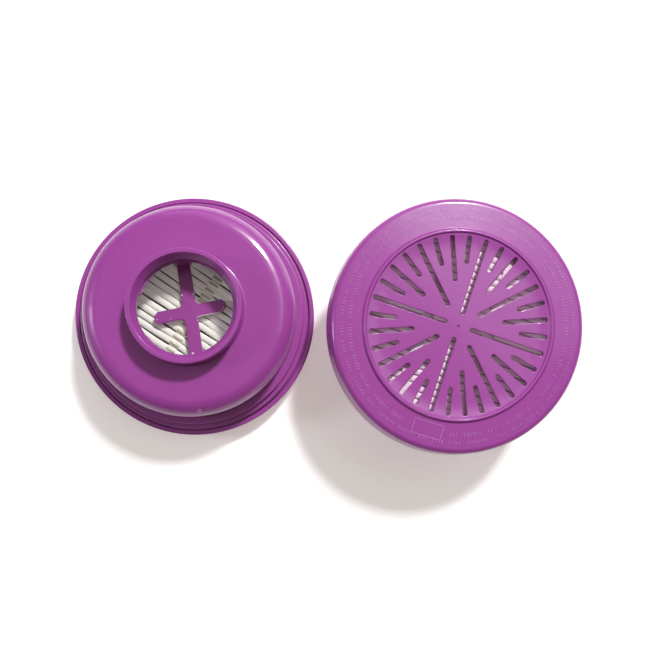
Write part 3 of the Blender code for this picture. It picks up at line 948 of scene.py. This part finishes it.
def flash_and_glints_mesh():
    """The thin line of flash along one edge of the cross and a few nibs, pale as painted glints."""
    bm = bmesh.new()
    loops = []
    for i, (x, y) in enumerate(FLASH_GLINT_PATH):
        before = Vector(FLASH_GLINT_PATH[max(0, i - 1)])
        after = Vector(FLASH_GLINT_PATH[min(len(FLASH_GLINT_PATH) - 1, i + 1)])
        along = (after - before).normalized()
        side = Vector((-along.y, along.x, 0.0))
        loop = []
        for k in range(FLASH_SIDES):
            angle = 2 * math.pi * k / FLASH_SIDES
            off = side * math.cos(angle) + Vector((0.0, 0.0, math.sin(angle)))
            centre = Vector((x * MM, y * MM, GUARD_TOP_LEVEL))
            loop.append(bm.verts.new(centre + off * FLASH_RADIUS))
        loops.append(loop)
    for near, far in zip(loops, loops[1:]):
        bridged(bm, near, far)
    bm.faces.new(loops[0])
    bm.faces.new(loops[-1])
    for x, y, radius in GLINT_NIBS:
        place = Matrix.Translation((x * MM, y * MM, GUARD_TOP_LEVEL))
        place @= Matrix.Diagonal((1, 1, NIB_FLATNESS, 1))
        bmesh.ops.create_icosphere(
            bm, subdivisions=NIB_SUBDIVISIONS, radius=radius * MM, matrix=place
        )
    turn = Matrix.Rotation(GUARD_ANGLE, 3, "Z")
    bmesh.ops.rotate(bm, verts=bm.verts, cent=(0, 0, 0), matrix=turn)
    return mesh_from(bm, "flash")


# ---------------------------------------------------------------- paper and glue


def pleat_profile():
    """(across, level) of one pleat, from one inlet fold to the next; across is in pitches."""
    depth = PACK_TOP_LEVEL - PACK_BOTTOM_LEVEL
    rise = [(across, depth + drop) for across, drop in PLEAT_CREST]
    fold = [(-0.5 - across, -drop) for across, drop in PLEAT_CREST[:-1]][::-1]
    middle = [((fold[-1][0] + rise[0][0]) / 2, depth / 2)]
    half = [(-0.5, 0.0)] + fold + middle + rise
    return half + [(-across, level) for across, level in half[-2:0:-1]]


def media_mesh(draw):
    """The folded sheet, one row of points along each line of the profile, cut round."""
    profile = pleat_profile()
    depth = PACK_TOP_LEVEL - PACK_BOTTOM_LEVEL
    count = math.floor((PACK_RADIUS - PLEAT_PITCH / 2) / PLEAT_PITCH)
    bm = bmesh.new()
    rows = []
    for pleat in range(-count, count + 1):
        lift = draw.uniform(*PLEAT_LIFT) * MM
        lean = draw.uniform(*PLEAT_LEAN) * MM
        for across, level in profile:
            share = (level / depth) ** PLEAT_TIP_POWER
            y = (pleat + across) * PLEAT_PITCH
            half = math.sqrt(max(PACK_RADIUS**2 - y**2, PLEAT_LEAST_HALF**2))
            row = []
            for column in range(PLEAT_COLUMNS + 1):
                x = half * (2 * column / PLEAT_COLUMNS - 1)
                along = Vector((x * SWAY_PER_METRE, pleat * SWAY_PER_PLEAT, SWAY_PLACE))
                sway = noise.noise(along) * SWAY_REACH * MM
                along = Vector((x * SWELL_PER_METRE, pleat * SWELL_PER_PLEAT, SWELL_PLACE))
                swell = noise.noise(along) * SWELL_REACH * MM
                shift = (lean + sway) * (SWAY_INLET_SHARE + SWAY_OUTLET_SHARE * share)
                height = PACK_BOTTOM_LEVEL + level + (lift + swell) * share
                row.append(bm.verts.new((x, y + shift, height)))
            rows.append(row)
    for near, far in zip(rows, rows[1:]):
        for k in range(PLEAT_COLUMNS):
            bm.faces.new((near[k], near[k + 1], far[k + 1], far[k]))
    return mesh_from(bm, "pleated_media")


def strand_mesh(offset, level, bow, seed, sag):
    """A flattened strand of glue across the folds, uneven, dipping by sag into the gaps between them."""
    half = math.sqrt(PACK_RADIUS**2 - offset**2) - STRAND_END_MARGIN
    bm = bmesh.new()
    loops = []
    for i in range(STRAND_STEPS + 1):
        y = half * (2 * i / STRAND_STEPS - 1)
        lumps = noise.noise(Vector((y * STRAND_LUMPS_PER_METRE, seed, 0.0)))
        thick = 1.0 + STRAND_LUMPS * lumps
        taper = math.sqrt(max(0.0, 1 - abs(2 * i / STRAND_STEPS - 1) ** STRAND_END_POWER))
        end = taper * (1 - STRAND_END_SHARE) + STRAND_END_SHARE
        wander = noise.noise(Vector((y * STRAND_WANDER_PER_METRE, seed, STRAND_WANDER_PLACE)))
        x = offset + bow * (1 - (y / half) ** 2) + STRAND_WANDER * wander
        gap = abs(math.cos(math.pi * y / PLEAT_PITCH)) ** STRAND_GAP_POWER
        dip = sag * (1 - gap) ** STRAND_DIP_POWER
        loop = []
        for k in range(STRAND_SIDES):
            angle = 2 * math.pi * k / STRAND_SIDES
            across = math.cos(angle) * STRAND_HALF_WIDTH * thick * end
            up = math.sin(angle) * STRAND_HALF_HEIGHT * thick * end
            loop.append(bm.verts.new((x + across, y, level + up - dip)))
        loops.append(loop)
    for near, far in zip(loops, loops[1:]):
        bridged(bm, near, far)
    bm.faces.new(loops[0])
    bm.faces.new(loops[-1])
    return mesh_from(bm, "glue_strand")


# ---------------------------------------------------------------- placing


def axis_matrix(side):
    """From a cartridge's own axes to the frame, read from its cover's box."""
    low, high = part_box(side + "_inlet_cover")
    middle = (low + high) / 2
    if side == "left":
        return Matrix.Translation((middle.x, middle.y, low.z)) @ Matrix.Rotation(LEFT_TURN, 4, "Z")
    over = Matrix.Rotation(RIGHT_TURN, 4, "Z") @ Matrix.Rotation(math.pi, 4, "X")
    return Matrix.Translation((middle.x, middle.y, high.z)) @ over


def place(name, mesh, look, side, node=None, slot="magenta_plastic", local=None):
    """A copy of the mesh in its side's place, riding on that side's body and standing for node if given."""
    placed = mesh.copy()
    placed.transform(axis_matrix(side) @ (local or Matrix.Identity(4)))
    placed.materials.append(look)
    obj = bpy.data.objects.new(side + "_" + name, placed)
    bpy.context.scene.collection.objects.link(obj)
    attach(obj, side + "_cartridge")
    if node:
        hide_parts(side + "_" + node)
    return obj


def rounded_edges(obj, width, segments):
    step = obj.modifiers.new("rounding", "BEVEL")
    step.width = width
    step.segments = segments
    step.limit_method = "ANGLE"
    step.angle_limit = GUARD_EDGE_ANGLE
    step.harden_normals = True


def sheet_thickness(obj, thickness):
    step = obj.modifiers.new("thickness", "SOLIDIFY")
    step.thickness = thickness
    step.offset = 0.0


def add_strands(side, glue, pale_glue):
    """Three strands of hot melt on the outlet folds and two on the inlet folds."""
    level = PACK_TOP_LEVEL + OUTLET_STRAND_RISE
    offsets = (("a", -STRAND_SPACING), ("b", MIDDLE_STRAND_OFFSET), ("c", STRAND_SPACING))
    for label, offset in offsets:
        strand = strand_mesh(offset, level, OUTLET_STRAND_BOW, offset / MM, STRAND_DIP)
        node = "outlet_glue_strand_" + label
        place("outlet_glue_" + label, strand, glue, side, node, "hot_melt")
    level = PACK_BOTTOM_LEVEL - INLET_STRAND_DROP
    for label, offset in (("a", -STRAND_SPACING / 2), ("b", STRAND_SPACING / 2)):
        seed = offset / MM + INLET_STRAND_SEED
        strand = strand_mesh(offset, level, INLET_STRAND_BOW, seed, 0.0)
        node = "inlet_glue_strand_" + label
        place("inlet_glue_" + label, strand, pale_glue, side, node, "hot_melt")


def build():
    """Both cartridges, from one set of meshes and materials."""
    draw = random.Random(SEED)
    shell = plastic("magenta_plastic", SHELL_COLOURS, roughness=0.32)
    guard_look = plastic("guard_plastic", GUARD_COLOURS, roughness=0.36)
    # Paler plastic: a painted highlight on the raised ticks, also used for the shoulder gate mark
    raised = plastic("pale_sheen_plastic", PALE_SHEEN_COLOURS, roughness=0.30)
    # Pale plastic for the flash and nibs: painted glints on the cross's edges
    glint_look = plastic("glint_plastic", GLINT_COLOURS, roughness=0.22)
    # Darker plastic for the hub gate mark
    dark_mark = plastic("dark_mark_plastic", DARK_MARK_COLOURS, roughness=0.35)
    sheet = paper("filter_paper")
    glue = hot_melt("hot_melt_glue", GLUE_COLOURS)
    # Pale hot melt, its pink a painted bounce light like the inlet paper's
    pale_glue = hot_melt("pale_hot_melt_glue_bounce_tint", PALE_GLUE_BOUNCE_TINT_COLOURS)
    potting = resin("potting_resin")
    cover = cover_mesh()
    ticks = ticks_mesh(draw)
    housing = housing_mesh()
    guard = guard_mesh()
    flash = flash_and_glints_mesh()
    mark = mark_mesh()
    media = media_mesh(draw)
    shoulder = Matrix.Rotation(SHOULDER_MARK_ANGLE, 4, "Z") @ Matrix.Translation(SHOULDER_MARK_PLACE)
    shoulder @= Matrix.Rotation(SHOULDER_MARK_TILT, 4, "Y")
    hub = Matrix.Translation((0.0, 0.0, DISC_LEVEL)) @ Matrix.Rotation(math.pi, 4, "X")
    hub @= Matrix.Scale(HUB_MARK_SHARE, 4)
    for side in SIDES:
        place("inlet_cover_shell", cover, shell, side, "inlet_cover")
        place("annulus_ticks", ticks, raised, side)
        place("hub_gate_mark", mark, dark_mark, side, local=hub)
        place("outlet_housing_shell", housing, shell, side, "outlet_housing")
        place("shoulder_gate_mark", mark, raised, side, local=shoulder)
        place("guard_flash_and_glints", flash, glint_look, side)
        cross = place("cross_guard_insert", guard, guard_look, side, "cross_guard")
        rounded_edges(cross, GUARD_EDGE_ROUNDING, GUARD_EDGE_SEGMENTS)
        folds = place("pleated_paper", media, sheet, side, "pleated_media", "filter_paper")
        sheet_thickness(folds, PAPER_THICKNESS)
        add_strands(side, glue, pale_glue)
        ring = frame["nodes"][side + "_potting_ring"]
        ring.data.materials.clear()
        ring.data.materials.append(potting)


# ---------------------------------------------------------------- stage


def add_floor():
    """A plain square, a hair below the cartridges."""
    bm = bmesh.new()
    corners = []
    for x, y in ((-1, -1), (1, -1), (1, 1), (-1, 1)):
        corners.append(bm.verts.new((x * FLOOR_HALF, y * FLOOR_HALF, FLOOR_LEVEL)))
    bm.faces.new(corners)
    mesh = bpy.data.meshes.new("floor")
    bm.to_mesh(mesh)
    bm.free()
    floor = bpy.data.objects.new("floor", mesh)
    bpy.context.scene.collection.objects.link(floor)
    floor.data.materials.append(floor_material("floor_paint"))


def add_area_light(name, azimuth, elevation, distance, size, power, colour):
    """A soft light, width by length, aimed at the middle of the pair."""
    data = bpy.data.lights.new(name, "AREA")
    data.color = colour
    data.shape = "RECTANGLE"
    data.size, data.size_y = size
    data.energy = power
    obj = bpy.data.objects.new(name, data)
    bpy.context.scene.collection.objects.link(obj)
    a, e = math.radians(azimuth), math.radians(elevation)
    away = Vector((math.cos(a) * math.cos(e), math.sin(a) * math.cos(e), math.sin(e)))
    obj.location = away * distance + AIM
    obj.rotation_euler = away.to_track_quat("Z", "Y").to_matrix().to_euler()


def add_world():
    """A dim warm surround that fills the shadows."""
    world = bpy.data.worlds.new("studio")
    bpy.context.scene.world = world
    world.use_nodes = True
    back = world.node_tree.nodes["Background"]
    back.inputs["Color"].default_value = WORLD_COLOUR
    back.inputs["Strength"].default_value = WORLD_STRENGTH


def add_camera():
    data = bpy.data.cameras.new("camera")
    data.lens = CAMERA_LENS
    data.sensor_width = CAMERA_SENSOR
    data.shift_x, data.shift_y = CAMERA_SHIFT
    data.clip_start, data.clip_end = CAMERA_CLIP
    obj = bpy.data.objects.new("camera", data)
    bpy.context.scene.collection.objects.link(obj)
    obj.location = CAMERA_PLACE
    obj.rotation_euler = CAMERA_TILT
    bpy.context.scene.camera = obj


clear_scene()
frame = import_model()
bpy.context.scene.view_settings.view_transform = "Standard"
add_camera()
build()
add_floor()
add_world()
for light in LIGHTS:
    add_area_light(*light)
